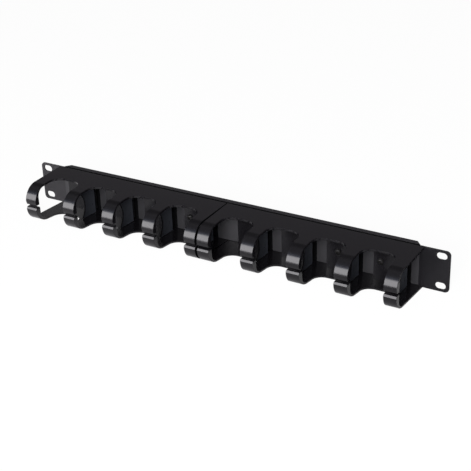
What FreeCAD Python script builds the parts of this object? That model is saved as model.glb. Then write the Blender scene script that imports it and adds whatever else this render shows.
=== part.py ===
import FreeCAD, Part
import math
import os
import re

import Sketcher

# One-unit rack cable bar, in millimetres.
# The origin is the centre of the four rack slots, on the face that meets the rack rails.
# X runs along the bar, the fingers point towards -Y and +Z is up.

SIZES = [
    # Steel panel
    ("sheet_thickness", 1.5, "steel sheet"),
    ("panel_width", 482.6, "over both ears"),
    ("panel_height", 44.0, "one rack unit less its clearance"),
    ("ear_corner_radius", 4.5, "outer corners of the ears"),
    ("rack_slot_inset", 8.75, "end of an ear to the middle of its slots"),
    ("rack_slot_drop", 6.125, "edge of the panel to the middle of the nearest slot"),
    ("rack_slot_width", 7.0, "across a rack slot"),
    ("rack_slot_length", 10.5, "along a rack slot, end to end"),
    ("ear_width", 30.8, "end of the panel to the root of the flanges"),
    ("flange_depth", 8.0, "front face to the edge of the flange"),
    ("flange_end_slant", 5.5, "how much each flange end draws in"),
    ("bend_radius", 1.0, "inside of the folds"),
    # Finger module
    ("fingers", 5, "fingers on one module"),
    ("finger_width", 14.0, "along the bar"),
    ("module_overhang", 4.5, "how far a module reaches past the root of the flanges"),
    ("module_seam", 0.4, "gap between the two modules"),
    ("end_draft", 0.8, "how much each end of a module draws in towards the front"),
    ("front_reach", 63.3, "steel front to finger front"),
    ("finger_depth", 6.3, "finger front to its inner face"),
    ("cover_thickness", 2.4, "top plate"),
    ("upper_bend_radius", 17.5, "outside of the upper finger"),
    ("inner_bend_radius", 9.0, "inside of both fingers"),
    ("lower_bend_height", -2.1, "middle of the lower bend above the origin"),
    ("upper_crease_offset", 5.6, "middle of the cable slot up to the crease where the tip tucks in"),
    ("lower_crease_offset", 3.55, "middle of the cable slot down to the lower tip's crease"),
    ("tip_tuck", 0.9, "how far the tips are drawn back"),
    ("upper_tip_radius", 1.6, "front edge of the upper tip"),
    ("lower_tip_radius", 0.8, "front edge of the lower tip"),
    ("slot_width", 2.4, "cable slot between the tips"),
    ("slot_height", 0.9, "middle of the cable slot above the origin"),
    ("floor_thickness", 2.0, "bottom plate"),
    ("floor_slope", 3.9, "degrees by which the floor rises forwards"),
    ("cover_notch_depth", 25.5, "steel front to the notch in the cover"),
    ("cover_notch_round", 0.345, "corner radius of that notch, as a share of its width"),
    ("floor_notch_depth", 27.8, "steel front to the notch in the floor"),
    ("floor_notch_round", 0.315, "corner radius of that notch, as a share of its width"),
    ("lower_finger_flare", 1.9, "how much a lower finger widens on each side towards its root"),
    ("tip_corner_radius", 0.9, "corners of the finger tips, seen from the front"),
    ("wall_stand_off", 9.0, "steel front to the front of the back wall"),
    ("wall_thickness", 1.6, "back wall"),
    ("window_margin", 3.0, "window past the right side of its finger"),
    ("core_step", 0.5, "draft step in the floor at the window"),
    ("web_thickness", 1.5, "web beside a finger"),
    ("web_horn_depth", 36.0, "steel front to the web's upper horn"),
    ("web_horn_drop", 5.9, "underside of the cover to the start of the web's scoop"),
    ("web_foot_depth", 33.0, "steel front to the web's foot"),
    ("web_scoop_round", 0.443, "radius of the scoop, as a share of the panel's height"),
    # Screws
    ("screws", 4, "screws in one module"),
    ("screw_spread", 0.8964, "screw to screw, as a share of the finger pitch"),
    ("screw_height", 1.0, "screws above the origin"),
    ("screw_diameter", 3.5, "outside of the thread"),
    ("screw_length", 14.0, "under the head"),
    ("screw_clearance", 0.25, "around a screw in the moulding"),
    ("thread_clearance", 0.05, "around a screw in the steel"),
    ("screw_head_diameter", 6.4, "head on the wall"),
    ("screw_head_height", 2.4, "wall to the front of the head"),
    ("recess_span", 3.6, "cross recess, tip to tip"),
    ("recess_arm", 0.9, "width of an arm of the recess"),
    ("recess_depth", 1.5, "depth of the recess"),
    ("post_width", 8.0, "square post round a screw, behind the back wall"),
]

doc = FreeCAD.newDocument("rack_cable_bar")
sheet = doc.addObject("Spreadsheet::Sheet", "dims")
for row, (alias, size, note) in enumerate(SIZES, start=1):
    sheet.set(f"A{row}", alias.replace("_", " "))
    sheet.set(f"B{row}", str(size))
    sheet.setAlias(f"B{row}", alias)
    sheet.set(f"C{row}", note)
doc.recompute()

SHEET_NAMES = re.compile(r"\b(" + "|".join(alias for alias, _, _ in SIZES) + r")\b")


def bound(formula):
    """The formula with every size written as a cell of the sheet."""
    return SHEET_NAMES.sub(r"dims.\1", formula)


def value(formula):
    """The number that a formula of sizes gives."""
    return float(sheet.evalExpression(bound(formula)))


def count(alias):
    return int(round(value(alias)))


# Places that several pieces share, as formulas of the sizes

HALF_HEIGHT = "panel_height / 2"
STEEL_FRONT = "-sheet_thickness"
FLANGE_LENGTH = "(panel_width - 2 * ear_width)"
SLOTS_ACROSS = "(panel_width - 2 * rack_slot_inset)"
SLOTS_UP = "(panel_height - 2 * rack_slot_drop)"
MODULE_LENGTH = f"(({FLANGE_LENGTH} + 2 * module_overhang - module_seam) / 2)"
FINGER_PITCH = f"(({MODULE_LENGTH} - finger_width) / (fingers - 1))"
NOTCH_WIDTH = f"({FINGER_PITCH} - finger_width)"
SCREW_PITCH = f"(screw_spread * {FINGER_PITCH})"
WALL_REAR = "(wall_stand_off - wall_thickness)"
UNDER_COVER = "(panel_height / 2 - cover_thickness)"
INNER_CENTRE = "(front_reach - finger_depth - inner_bend_radius)"
FIRST_SCREW = f"(({MODULE_LENGTH} - (screws - 1) * {SCREW_PITCH}) / 2)"
MODULE_STARTS = {
    "left_finger_module": f"-{MODULE_LENGTH} - module_seam / 2",
    "right_finger_module": "module_seam / 2",
}


def ahead(depth):
    """Y of a point that lies a depth in front of the steel."""
    return f"(-sheet_thickness - ({depth}))"


def floor_bottom(depth):
    return f"(({depth}) * tan(floor_slope * 1deg) - {HALF_HEIGHT})"


def floor_top(depth):
    return f"({floor_bottom(depth)} + floor_thickness / cos(floor_slope * 1deg))"


# Sketches whose points are held by formulas

class Outline:
    """A sketch on an origin plane, made of closed runs of lines and arcs."""

    def __init__(self, body, name, plane, lift="0"):
        self.sketch = body.newObject("Sketcher::SketchObject", name)
        self.sketch.AttachmentSupport = [(origin_feature(body, plane), "")]
        self.sketch.MapMode = "FlatFace"
        self.sketch.setExpression("AttachmentOffset.Base.z", bound(lift))
        doc.recompute()

    def hold(self, kind, geometry, point, formula):
        """Hold one coordinate of a point, or a radius, by a formula."""
        if kind == "Radius":
            constraint = Sketcher.Constraint(kind, geometry, value(formula))
        else:
            constraint = Sketcher.Constraint(kind, -1, 1, geometry, point, value(formula))
        index = self.sketch.addConstraint(constraint)
        self.sketch.renameConstraint(index, f"held{index}")
        self.sketch.setExpression(f".Constraints.held{index}", bound(formula))

    def circle(self, across, up, radius):
        centre = FreeCAD.Vector(value(across), value(up), 0)
        shape = Part.Circle(centre, FreeCAD.Vector(0, 0, 1), value(radius))
        geometry = self.sketch.addGeometry(shape, False)
        self.hold("DistanceX", geometry, 3, across)
        self.hold("DistanceY", geometry, 3, up)
        self.hold("Radius", geometry, 0, radius)

    def run(self, steps):
        """A closed run. A step is (across, up), or (across, up, radius, turn) for an arc to there."""
        ends = [FreeCAD.Vector(value(step[0]), value(step[1]), 0) for step in steps]
        edges = []
        for index, step in enumerate(steps):
            start = ends[index - 1]
            end = ends[index]
            if len(step) == 2:
                geometry = self.sketch.addGeometry(Part.LineSegment(start, end), False)
                edges.append((geometry, 1, 2))
                continue
            arc, first, last = arc_between(start, end, value(step[2]), step[3])
            geometry = self.sketch.addGeometry(arc, False)
            self.hold("Radius", geometry, 0, step[2])
            edges.append((geometry, first, last))
        for index, (geometry, first, last) in enumerate(edges):
            following = edges[(index + 1) % len(edges)]
            joint = Sketcher.Constraint("Coincident", geometry, last, following[0], following[1])
            self.sketch.addConstraint(joint)
            self.hold("DistanceX", geometry, last, steps[index][0])
            self.hold("DistanceY", geometry, last, steps[index][1])


def arc_between(start, end, radius, turn):
    """The short arc from start to end, and which of its ends is which."""
    chord = end - start
    half = chord.Length / 2
    rise = math.sqrt(max(radius * radius - half * half, 0.0))
    side = FreeCAD.Vector(-chord.y, chord.x, 0).normalize()
    leftwards = turn == "left"
    centre = (start + end) * 0.5 + side * (rise if leftwards else -rise)
    first, last = (start, end) if leftwards else (end, start)
    angles = [math.atan2(point.y - centre.y, point.x - centre.x) for point in (first, last)]
    circle = Part.Circle(centre, FreeCAD.Vector(0, 0, 1), radius)
    arc = Part.ArcOfCircle(circle, angles[0], angles[1])
    return (arc, 1, 2) if leftwards else (arc, 2, 1)


# Bodies and features

def origin_feature(body, role):
    for feature in body.Origin.OriginFeatures:
        if feature.Role == role:
            return feature
    raise RuntimeError(f"the body has no {role}")


def new_body(name):
    body = doc.addObject("PartDesign::Body", name)
    body.Label = name
    return body


def feature(body, kind, name, outline, length, backwards=False):
    """Pad or pocket an outline. Backwards means against the kind's own direction."""
    made = body.newObject(f"PartDesign::{kind}", name)
    made.Profile = outline.sketch
    made.setExpression("Length", bound(length))
    made.Reversed = backwards
    body.Tip = made
    doc.recompute()
    return made


def repeat(body, original, name, copies, pitch):
    """Copies of a feature in a row along the bar, as many as a size or a number says."""
    pattern = body.newObject("PartDesign::LinearPattern", name)
    pattern.Originals = [original]
    pattern.Direction = (origin_feature(body, "X_Axis"), [""])
    pattern.setExpression("Length", bound(f"({copies} - 1) * {pitch}"))
    pattern.setExpression("Occurrences", bound(copies))
    body.Tip = pattern
    doc.recompute()
    return pattern


# Steel panel

def channel_section():
    """Front plate with a flange folded back at the top and at the bottom."""
    outer = "(bend_radius + sheet_thickness)"
    bend = f"({STEEL_FRONT} + {outer})"
    edge = f"({STEEL_FRONT} + flange_depth)"
    return [
        (edge, HALF_HEIGHT),
        (bend, HALF_HEIGHT),
        (STEEL_FRONT, f"{HALF_HEIGHT} - {outer}", outer, "left"),
        (STEEL_FRONT, f"{outer} - {HALF_HEIGHT}"),
        (bend, f"-{HALF_HEIGHT}", outer, "left"),
        (edge, f"-{HALF_HEIGHT}"),
        (edge, f"sheet_thickness - {HALF_HEIGHT}"),
        (bend, f"sheet_thickness - {HALF_HEIGHT}"),
        ("0", f"{outer} - {HALF_HEIGHT}", "bend_radius", "right"),
        ("0", f"{HALF_HEIGHT} - {outer}"),
        (bend, f"{HALF_HEIGHT} - sheet_thickness", "bend_radius", "right"),
        (edge, f"{HALF_HEIGHT} - sheet_thickness"),
    ]


def ear_outline(side):
    """Ear on the right (side 1) or on the left (side -1), seen from the front."""
    root = f"{side} * {FLANGE_LENGTH} / 2"
    end = f"{side} * panel_width / 2"
    before_end = f"{side} * (panel_width / 2 - ear_corner_radius)"
    straight = f"({HALF_HEIGHT} - ear_corner_radius)"
    turn = "left" if side > 0 else "right"
    return [
        (root, f"-{HALF_HEIGHT}"),
        (before_end, f"-{HALF_HEIGHT}"),
        (end, f"-{straight}", "ear_corner_radius", turn),
        (end, straight),
        (before_end, HALF_HEIGHT, "ear_corner_radius", turn),
        (root, HALF_HEIGHT),
    ]


def slot_outline(across, up):
    """Slot with round ends that lies along the bar."""
    straight = "((rack_slot_length - rack_slot_width) / 2)"
    radius = "(rack_slot_width / 2)"
    return [
        (f"{across} + {straight}", f"{up} - {radius}"),
        (f"{across} + rack_slot_length / 2", up, radius, "left"),
        (f"{across} + {straight}", f"{up} + {radius}", radius, "left"),
        (f"{across} - {straight}", f"{up} + {radius}"),
        (f"{across} - rack_slot_length / 2", up, radius, "left"),
        (f"{across} - {straight}", f"{up} - {radius}", radius, "left"),
    ]


def flange_end_cut(side):
    """Triangle that slants a flange end, seen from above."""
    edge = f"({STEEL_FRONT} + flange_depth)"
    root = f"{side} * {FLANGE_LENGTH} / 2"
    end = f"{side} * ({FLANGE_LENGTH} / 2 - flange_end_slant)"
    beyond = f"{side} * ({FLANGE_LENGTH} / 2 + 1)"
    return [
        (root, "0"),
        (beyond, edge),
        (beyond, f"{edge} + 1"),
        (end, f"{edge} + 1"),
        (end, edge),
    ]


def steel_panel():
    body = new_body("steel_panel")
    section = Outline(body, "channel_section", "YZ_Plane", f"-{FLANGE_LENGTH} / 2")
    section.run(channel_section())
    feature(body, "Pad", "folded_channel", section, FLANGE_LENGTH)

    ears = Outline(body, "ear_outlines", "XZ_Plane")
    for side in (1, -1):
        ears.run(ear_outline(side))
    feature(body, "Pad", "ears", ears, "sheet_thickness")

    above = f"{HALF_HEIGHT} + 1"
    ends = Outline(body, "flange_end_outlines", "XY_Plane", above)
    for side in (1, -1):
        ends.run(flange_end_cut(side))
    feature(body, "Pocket", "slanted_flange_ends", ends, "panel_height + 2")

    slots = Outline(body, "rack_slot_outlines", "XZ_Plane", "sheet_thickness")
    for side in (1, -1):
        for level in (1, -1):
            slots.run(slot_outline(f"{side} * {SLOTS_ACROSS} / 2", f"{level} * {SLOTS_UP} / 2"))
    feature(body, "Pocket", "rack_slots", slots, "sheet_thickness + 1")

    holes = Outline(body, "screw_hole_outlines", "XZ_Plane", "sheet_thickness")
    for start in MODULE_STARTS.values():
        for index in range(count("screws")):
            across = f"{start} + {FIRST_SCREW} + {index} * {SCREW_PITCH}"
            holes.circle(across, "screw_height", "screw_diameter / 2 + thread_clearance")
    feature(body, "Pocket", "screw_holes", holes, "sheet_thickness + 1")
    return body


# Finger module

def finger_section():
    """Side view of the moulding at a finger, from the rear of the cover round to the rear of the floor."""
    upper_crease_rise = f"(slot_height + upper_crease_offset - {HALF_HEIGHT} + upper_bend_radius)"
    upper_crease_run = f"sqrt(upper_bend_radius ^ 2 - {upper_crease_rise} ^ 2)"
    tip = "(front_reach - tip_tuck)"
    slot_top = "(slot_height + slot_width / 2)"
    slot_bottom = "(slot_height - slot_width / 2)"
    inside = "(front_reach - finger_depth)"
    lower_inner_height = f"({floor_top(INNER_CENTRE)} + inner_bend_radius / cos(floor_slope * 1deg))"
    lower_room = f"(lower_bend_height - {floor_bottom('front_reach')})"
    lower_bend = f"({lower_room} / (1 / cos(floor_slope * 1deg) - tan(floor_slope * 1deg)))"
    lower_centre = f"(front_reach - {lower_bend})"
    lower_crease_rise = "(slot_height - lower_crease_offset - lower_bend_height)"
    lower_crease_run = f"sqrt({lower_bend} ^ 2 - {lower_crease_rise} ^ 2)"
    return [
        (ahead("0"), HALF_HEIGHT),
        (ahead("front_reach - upper_bend_radius"), HALF_HEIGHT),
        (ahead(f"front_reach - upper_bend_radius + {upper_crease_run}"),
         "slot_height + upper_crease_offset", "upper_bend_radius", "left"),
        (ahead(tip), f"{slot_top} + upper_tip_radius"),
        (ahead(f"{tip} - upper_tip_radius"), slot_top, "upper_tip_radius", "left"),
        (ahead(inside), slot_top),
        (ahead(inside), f"{UNDER_COVER} - inner_bend_radius"),
        (ahead(INNER_CENTRE), UNDER_COVER, "inner_bend_radius", "right"),
        (ahead("wall_stand_off"), UNDER_COVER),
        (ahead("wall_stand_off"), floor_top("wall_stand_off")),
        (ahead(f"{INNER_CENTRE} + inner_bend_radius * sin(floor_slope * 1deg)"),
         f"{lower_inner_height} - inner_bend_radius * cos(floor_slope * 1deg)"),
        (ahead(inside), lower_inner_height, "inner_bend_radius", "right"),
        (ahead(inside), slot_bottom),
        (ahead(f"{tip} - lower_tip_radius"), slot_bottom),
        (ahead(tip), f"{slot_bottom} - lower_tip_radius", "lower_tip_radius", "left"),
        (ahead(f"{lower_centre} + {lower_crease_run}"), "slot_height - lower_crease_offset"),
        (ahead(f"{lower_centre} + {lower_bend} * sin(floor_slope * 1deg)"),
         f"lower_bend_height - {lower_bend} * cos(floor_slope * 1deg)", lower_bend, "left"),
        (ahead("0"), floor_bottom("0")),
        (ahead("0"), floor_top("0")),
        (ahead(WALL_REAR), floor_top(WALL_REAR)),
        (ahead(WALL_REAR), UNDER_COVER),
        (ahead("0"), UNDER_COVER),
    ]


def notch_outline(depth, share, flare):
    """Notch between the first two fingers, open to the front, with two round corners."""
    front = ahead("front_reach + 1")
    radius = f"({share} * {NOTCH_WIDTH})"
    left = f"(finger_width + {flare})"
    right = f"({FINGER_PITCH} - {flare})"
    return [
        ("finger_width", front),
        (left, ahead(f"{depth} + {radius}")),
        (f"{left} + {radius}", ahead(depth), radius, "right"),
        (f"{right} - {radius}", ahead(depth)),
        (right, ahead(f"{depth} + {radius}"), radius, "right"),
        (FINGER_PITCH, front),
    ]


def end_wedge(side):
    """Wedge that drafts the left end (side -1) or the right end (side 1), seen from above."""
    end = MODULE_LENGTH if side > 0 else "0"
    front = ahead("front_reach + 1")
    return [
        (end, ahead("0")),
        (f"{end} + {side}", ahead("0")),
        (f"{end} + {side}", front),
        (f"{end} - {side} * end_draft", front),
    ]


def window_section():
    """Room behind a finger: it opens the back wall and thins the floor towards the rear."""
    return [
        (ahead("0"), UNDER_COVER),
        (ahead(INNER_CENTRE), UNDER_COVER),
        (ahead(INNER_CENTRE), floor_top(INNER_CENTRE)),
        (ahead("0"), f"{floor_top('0')} - core_step"),
    ]


def web_section():
    """Web beside a finger. A round scoop at its front leaves the cables their way."""
    scoop_radius = "(web_scoop_round * panel_height)"
    in_cover = f"({UNDER_COVER} + cover_thickness / 2)"
    in_floor_ahead = f"({floor_top('web_foot_depth')} - floor_thickness / 2)"
    in_floor_behind = f"({floor_top(WALL_REAR)} - floor_thickness / 2)"
    return [
        (ahead(WALL_REAR), in_cover),
        (ahead("web_horn_depth"), in_cover),
        (ahead("web_horn_depth"), f"{UNDER_COVER} - web_horn_drop"),
        (ahead("web_foot_depth"), floor_top("web_foot_depth"), scoop_radius, "right"),
        (ahead("web_foot_depth"), in_floor_ahead),
        (ahead(WALL_REAR), in_floor_behind),
    ]


def tip_corner_cut(side):
    """Room of the cable slot at one side of the first finger, with its two round corners."""
    top = "(slot_height + slot_width / 2)"
    bottom = "(slot_height - slot_width / 2)"
    edge = "finger_width" if side > 0 else "0"
    inner = f"{edge} - {side} * tip_corner_radius"
    outer = f"{edge} + {side}"
    turn = "right" if side > 0 else "left"
    return [
        (outer, f"{top} + tip_corner_radius"),
        (edge, f"{top} + tip_corner_radius"),
        (inner, top, "tip_corner_radius", turn),
        (inner, bottom),
        (edge, f"{bottom} - tip_corner_radius", "tip_corner_radius", turn),
        (outer, f"{bottom} - tip_corner_radius"),
    ]


def post_outline():
    """Square post round the first screw."""
    half = "post_width / 2"
    return [
        (f"{FIRST_SCREW} - {half}", f"screw_height - {half}"),
        (f"{FIRST_SCREW} + {half}", f"screw_height - {half}"),
        (f"{FIRST_SCREW} + {half}", f"screw_height + {half}"),
        (f"{FIRST_SCREW} - {half}", f"screw_height + {half}"),
    ]


def finger_module(name):
    body = new_body(name)
    between = "(fingers - 1)"

    section = Outline(body, "finger_section", "YZ_Plane")
    section.run(finger_section())
    feature(body, "Pad", "full_section", section, MODULE_LENGTH)

    cover_notch = Outline(body, "cover_notch_outline", "XY_Plane", "slot_height")
    cover_notch.run(notch_outline("cover_notch_depth", "cover_notch_round", "0"))
    cut = feature(body, "Pocket", "cover_notch", cover_notch, "panel_height", backwards=True)
    repeat(body, cut, "cover_notches", between, FINGER_PITCH)

    floor_notch = Outline(body, "floor_notch_outline", "XY_Plane", "slot_height")
    floor_notch.run(notch_outline("floor_notch_depth", "floor_notch_round", "lower_finger_flare"))
    cut = feature(body, "Pocket", "floor_notch", floor_notch, "panel_height")
    repeat(body, cut, "floor_notches", between, FINGER_PITCH)

    ends = Outline(body, "end_wedges", "XY_Plane", HALF_HEIGHT)
    for side in (-1, 1):
        ends.run(end_wedge(side))
    feature(body, "Pocket", "drafted_ends", ends, "panel_height")

    tip = Outline(body, "tip_corner_outlines", "XZ_Plane", "sheet_thickness + front_reach + 1")
    for side in (-1, 1):
        tip.run(tip_corner_cut(side))
    cut = feature(body, "Pocket", "tip_corner", tip, "finger_depth + 2")
    repeat(body, cut, "tip_corners", "fingers", FINGER_PITCH)

    window = Outline(body, "window_section", "YZ_Plane")
    window.run(window_section())
    cut = feature(body, "Pocket", "window", window, "finger_width + window_margin", backwards=True)
    repeat(body, cut, "windows", "fingers", FINGER_PITCH)

    web = Outline(body, "web_section", "YZ_Plane", FINGER_PITCH)
    web.run(web_section())
    pad = feature(body, "Pad", "web", web, "web_thickness")
    repeat(body, pad, "webs", between, FINGER_PITCH)

    post = Outline(body, "post_outline", "XZ_Plane", f"sheet_thickness + {WALL_REAR}")
    post.run(post_outline())
    pad = feature(body, "Pad", "post", post, WALL_REAR, backwards=True)
    repeat(body, pad, "posts", "screws", SCREW_PITCH)

    hole = Outline(body, "screw_hole_outline", "XZ_Plane", "sheet_thickness + wall_stand_off")
    hole.circle(FIRST_SCREW, "screw_height", "screw_diameter / 2 + screw_clearance")
    cut = feature(body, "Pocket", "screw_hole", hole, "wall_stand_off")
    repeat(body, cut, "screw_holes", "screws", SCREW_PITCH)

    body.setExpression("Placement.Base.x", bound(MODULE_STARTS[name]))
    doc.recompute()
    return body


# Screws

def screw_section():
    """Half section of a screw whose head rests at the origin and whose axis is Y."""
    radius = "screw_diameter / 2"
    head = "screw_head_diameter / 2"
    return [
        ("screw_length", "0"),
        ("screw_length", radius),
        ("0", radius),
        ("0", head),
        ("-screw_head_height", head),
        ("-screw_head_height", "0"),
    ]


def cross_outline():
    """Cross with four equal arms."""
    tip = "recess_span / 2"
    arm = "recess_arm / 2"
    quarter = [(tip, f"-{arm}"), (tip, arm), (arm, arm)]
    outline = []
    for across, up in quarter:
        outline.append((across, up))
    outline += [(arm, tip), (f"-{arm}", tip), (f"-{arm}", arm)]
    outline += [(f"-{tip}", arm), (f"-{tip}", f"-{arm}"), (f"-{arm}", f"-{arm}")]
    outline += [(f"-{arm}", f"-{tip}"), (arm, f"-{tip}"), (arm, f"-{arm}")]
    return outline


def screw():
    body = new_body("screw_pattern_piece")
    section = Outline(body, "screw_section", "YZ_Plane")
    section.run(screw_section())
    turned = body.newObject("PartDesign::Revolution", "turned_screw")
    turned.Profile = section.sketch
    turned.ReferenceAxis = (section.sketch, ["H_Axis"])
    turned.Angle = 360
    body.Tip = turned
    doc.recompute()
    cross = Outline(body, "recess_outline", "XZ_Plane", "screw_head_height")
    cross.run(cross_outline())
    feature(body, "Pocket", "cross_recess", cross, "recess_depth")
    return body


def module_screws():
    """All screws as separate solids, each with its head on the back wall of a module."""
    pattern_piece = screw()
    solids = []
    for start in MODULE_STARTS.values():
        for index in range(count("screws")):
            place = FreeCAD.Vector(
                value(f"{start} + {FIRST_SCREW} + {index} * {SCREW_PITCH}"),
                value(ahead("wall_stand_off")),
                value("screw_height"),
            )
            solids.append(pattern_piece.Shape.translated(place))
    group = doc.addObject("Part::Feature", "module_screws")
    group.Label = "module_screws"
    group.Shape = Part.makeCompound(solids)
    return group


# Checks and files

def check_document():
    for item in doc.Objects:
        if "Invalid" in item.State or "Error" in item.State:
            raise RuntimeError(f"{item.Name} failed: {item.State}")


def check_piece(piece):
    shape = piece.Shape
    if shape.isNull() or not shape.isValid():
        raise RuntimeError(f"{piece.Label} has no valid shape")
    box = shape.BoundBox
    print(
        f"{piece.Label}: {len(shape.Solids)} solids, {shape.Volume / 1000:.2f} cm3, "
        f"X {box.XMin:.2f} {box.XMax:.2f}, Y {box.YMin:.2f} {box.YMax:.2f}, "
        f"Z {box.ZMin:.2f} {box.ZMax:.2f}"
    )


pieces = [steel_panel()]
for module_name in MODULE_STARTS:
    pieces.append(finger_module(module_name))
pieces.append(module_screws())
doc.recompute()
check_document()
os.makedirs("parts", exist_ok=True)
for piece in pieces:
    check_piece(piece)
    piece.Shape.exportStep(os.path.join("parts", f"{piece.Label}.step"))
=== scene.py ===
# %% [markdown]
# # A rack cable bar
#
# The object is a black steel panel, one rack unit high, that is screwed to the front of a rack.
# Two glossy black mouldings sit on it, and each has five split fingers that hold cables. The
# packed CAD model is the frame: it fixes every size and place. This script gives the same pieces
# rounded edges, mould marks and threads, and the finishes of the real thing.

# %% The packed frame
import bmesh
import bpy
import math
from mathutils import Matrix, Vector


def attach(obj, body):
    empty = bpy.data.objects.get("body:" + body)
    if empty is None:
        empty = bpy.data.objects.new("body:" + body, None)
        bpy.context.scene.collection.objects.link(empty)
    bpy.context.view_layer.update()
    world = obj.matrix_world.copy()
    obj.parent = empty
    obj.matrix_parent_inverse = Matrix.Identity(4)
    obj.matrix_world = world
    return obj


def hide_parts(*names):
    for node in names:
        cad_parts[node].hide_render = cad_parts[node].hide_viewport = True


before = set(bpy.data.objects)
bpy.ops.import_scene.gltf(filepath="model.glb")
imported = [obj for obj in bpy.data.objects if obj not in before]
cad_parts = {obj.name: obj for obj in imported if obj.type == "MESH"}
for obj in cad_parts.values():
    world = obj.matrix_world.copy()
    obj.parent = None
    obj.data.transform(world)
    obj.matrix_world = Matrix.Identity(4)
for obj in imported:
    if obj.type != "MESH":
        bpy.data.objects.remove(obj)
for leftover in ("Cube", "Light", "Camera"):
    if leftover in bpy.data.objects:
        bpy.data.objects.remove(bpy.data.objects[leftover])
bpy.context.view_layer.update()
print("CAD nodes:", sorted(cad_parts))

# %% [markdown]
# ## The camera
#
# The photograph was taken from the front right and from above, with a long lens. The place and
# the turn of the camera were fitted to the rack slots and the panel's edges, whose real sizes are
# known. The camera comes first, so that each piece can be looked at from the right place as it is
# made.

# %% Camera at the photograph's viewing angle
AZIMUTH = math.radians(30.969)
ELEVATION = math.radians(27.147)
ROLL = math.radians(-2.073)
CAMERA_PLACE = (0.5540, -0.9103, 0.5300)
LENS = 87.98
SENSOR = 36.0


def camera_turn(azimuth, elevation, roll):
    """Rotation of a camera that looks at the object from an azimuth and an elevation."""
    back = Vector((
        math.sin(azimuth) * math.cos(elevation),
        -math.cos(azimuth) * math.cos(elevation),
        math.sin(elevation),
    ))
    level = Vector((math.cos(azimuth), math.sin(azimuth), 0.0))
    upright = back.cross(level)
    right = math.cos(roll) * level + math.sin(roll) * upright
    up = -math.sin(roll) * level + math.cos(roll) * upright
    return Matrix((right, up, back)).transposed().to_4x4()


lens_data = bpy.data.cameras.new("photo_camera")
lens_data.lens = LENS
lens_data.sensor_width = SENSOR
lens_data.clip_start = 0.05
lens_data.clip_end = 20.0
photo_camera = bpy.data.objects.new("photo_camera", lens_data)
bpy.context.scene.collection.objects.link(photo_camera)
photo_camera.matrix_world = Matrix.Translation(CAMERA_PLACE) @ camera_turn(AZIMUTH, ELEVATION, ROLL)
bpy.context.scene.camera = photo_camera
print("camera at", CAMERA_PLACE)

# %% [markdown]
# ## Outlines and solids
#
# Sheet metal and mouldings are both made from flat outlines that are pulled straight through a
# thickness. So one helper makes such solids, several at once in one mesh, and one helper joins or
# cuts them. Outlines are in millimetres, because that is how the parts are measured, and each
# mesh stays in millimetres until its last step: the Boolean steps lose small faces in a mesh in
# metres. Arcs are divided finely, because a glossy surface shows each facet of a coarse one.

# %% Arcs and prisms
MM = 0.001
ARC_STEP = 3.0
BEYOND = 30.0
CLEAR = 1.0


def arc(across, up, radius, first, last, step_angle=ARC_STEP):
    """Points on an arc, from one angle in degrees to another."""
    steps = max(2, round(abs(last - first) / step_angle))
    points = []
    for step in range(steps + 1):
        angle = math.radians(first + (last - first) * step / steps)
        points.append((across + radius * math.cos(angle), up + radius * math.sin(angle)))
    return points


AXES = {
    "X": lambda across, up, along: (along, across, up),
    "Y": lambda across, up, along: (across, along, up),
    "Z": lambda across, up, along: (across, up, along),
}


def prisms(name, axis, solids):
    """One object with a prism for each (outline, low, high), pulled along an axis."""
    place = AXES[axis]
    mesh = bmesh.new()
    for outline, low, high in solids:
        ends = []
        for along in (low, high):
            ends.append([mesh.verts.new(Vector(place(a, u, along))) for a, u in outline])
        mesh.faces.new(ends[0])
        mesh.faces.new(list(reversed(ends[1])))
        for index in range(len(outline)):
            before = index - 1
            mesh.faces.new((ends[0][before], ends[1][before], ends[1][index], ends[0][index]))
    bmesh.ops.recalc_face_normals(mesh, faces=mesh.faces)
    data = bpy.data.meshes.new(name)
    mesh.to_mesh(data)
    mesh.free()
    piece = bpy.data.objects.new(name, data)
    bpy.context.scene.collection.objects.link(piece)
    return piece


print("points on a quarter circle:", len(arc(0.0, 0.0, 10.0, 0, 90)))

# %% [markdown]
# A Boolean step cuts one mesh out of another or joins the two, and its result becomes the mesh at
# once, so that the tool can go. A bevel rounds only the edges that are sharp. The last step closes
# the mesh, turns it into metres and settles which edges stay sharp in the shading.


# %% Boolean steps, soft edges and the last step of a mesh
SHARP_ANGLE = math.radians(38)
SAME_POINT = 0.0005
LARGEST_GAP = 8


def settle(piece):
    """Turn a piece's modifiers into its mesh."""
    bpy.context.view_layer.update()
    shaped = piece.evaluated_get(bpy.context.evaluated_depsgraph_get())
    mesh = bpy.data.meshes.new_from_object(shaped)
    piece.modifiers.clear()
    piece.data = mesh
    mesh.name = piece.name


def combine(piece, tool, operation):
    """Join another solid to a piece, or cut it out of the piece."""
    step = piece.modifiers.new(operation, "BOOLEAN")
    step.operation = operation
    step.solver = "EXACT"
    step.object = tool
    settle(piece)
    bpy.data.objects.remove(tool)


def soften_edges(piece, width, segments, crisp=None):
    """Round the sharp edges by a width in mm, but not where X lies between the two crisp limits."""
    mesh = bmesh.new()
    mesh.from_mesh(piece.data)
    weight = mesh.edges.layers.float.new("bevel_weight_edge")
    for edge in mesh.edges:
        spread = [abs(vert.co.x) for vert in edge.verts]
        spared = crisp is not None and all(crisp[0] < x < crisp[1] for x in spread)
        edge[weight] = float(edge.calc_face_angle() > SHARP_ANGLE and not spared)
    mesh.to_mesh(piece.data)
    mesh.free()
    step = piece.modifiers.new("soft_edges", "BEVEL")
    step.width = width
    step.segments = segments
    step.limit_method = "WEIGHT"
    step.use_clamp_overlap = False
    settle(piece)


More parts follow.
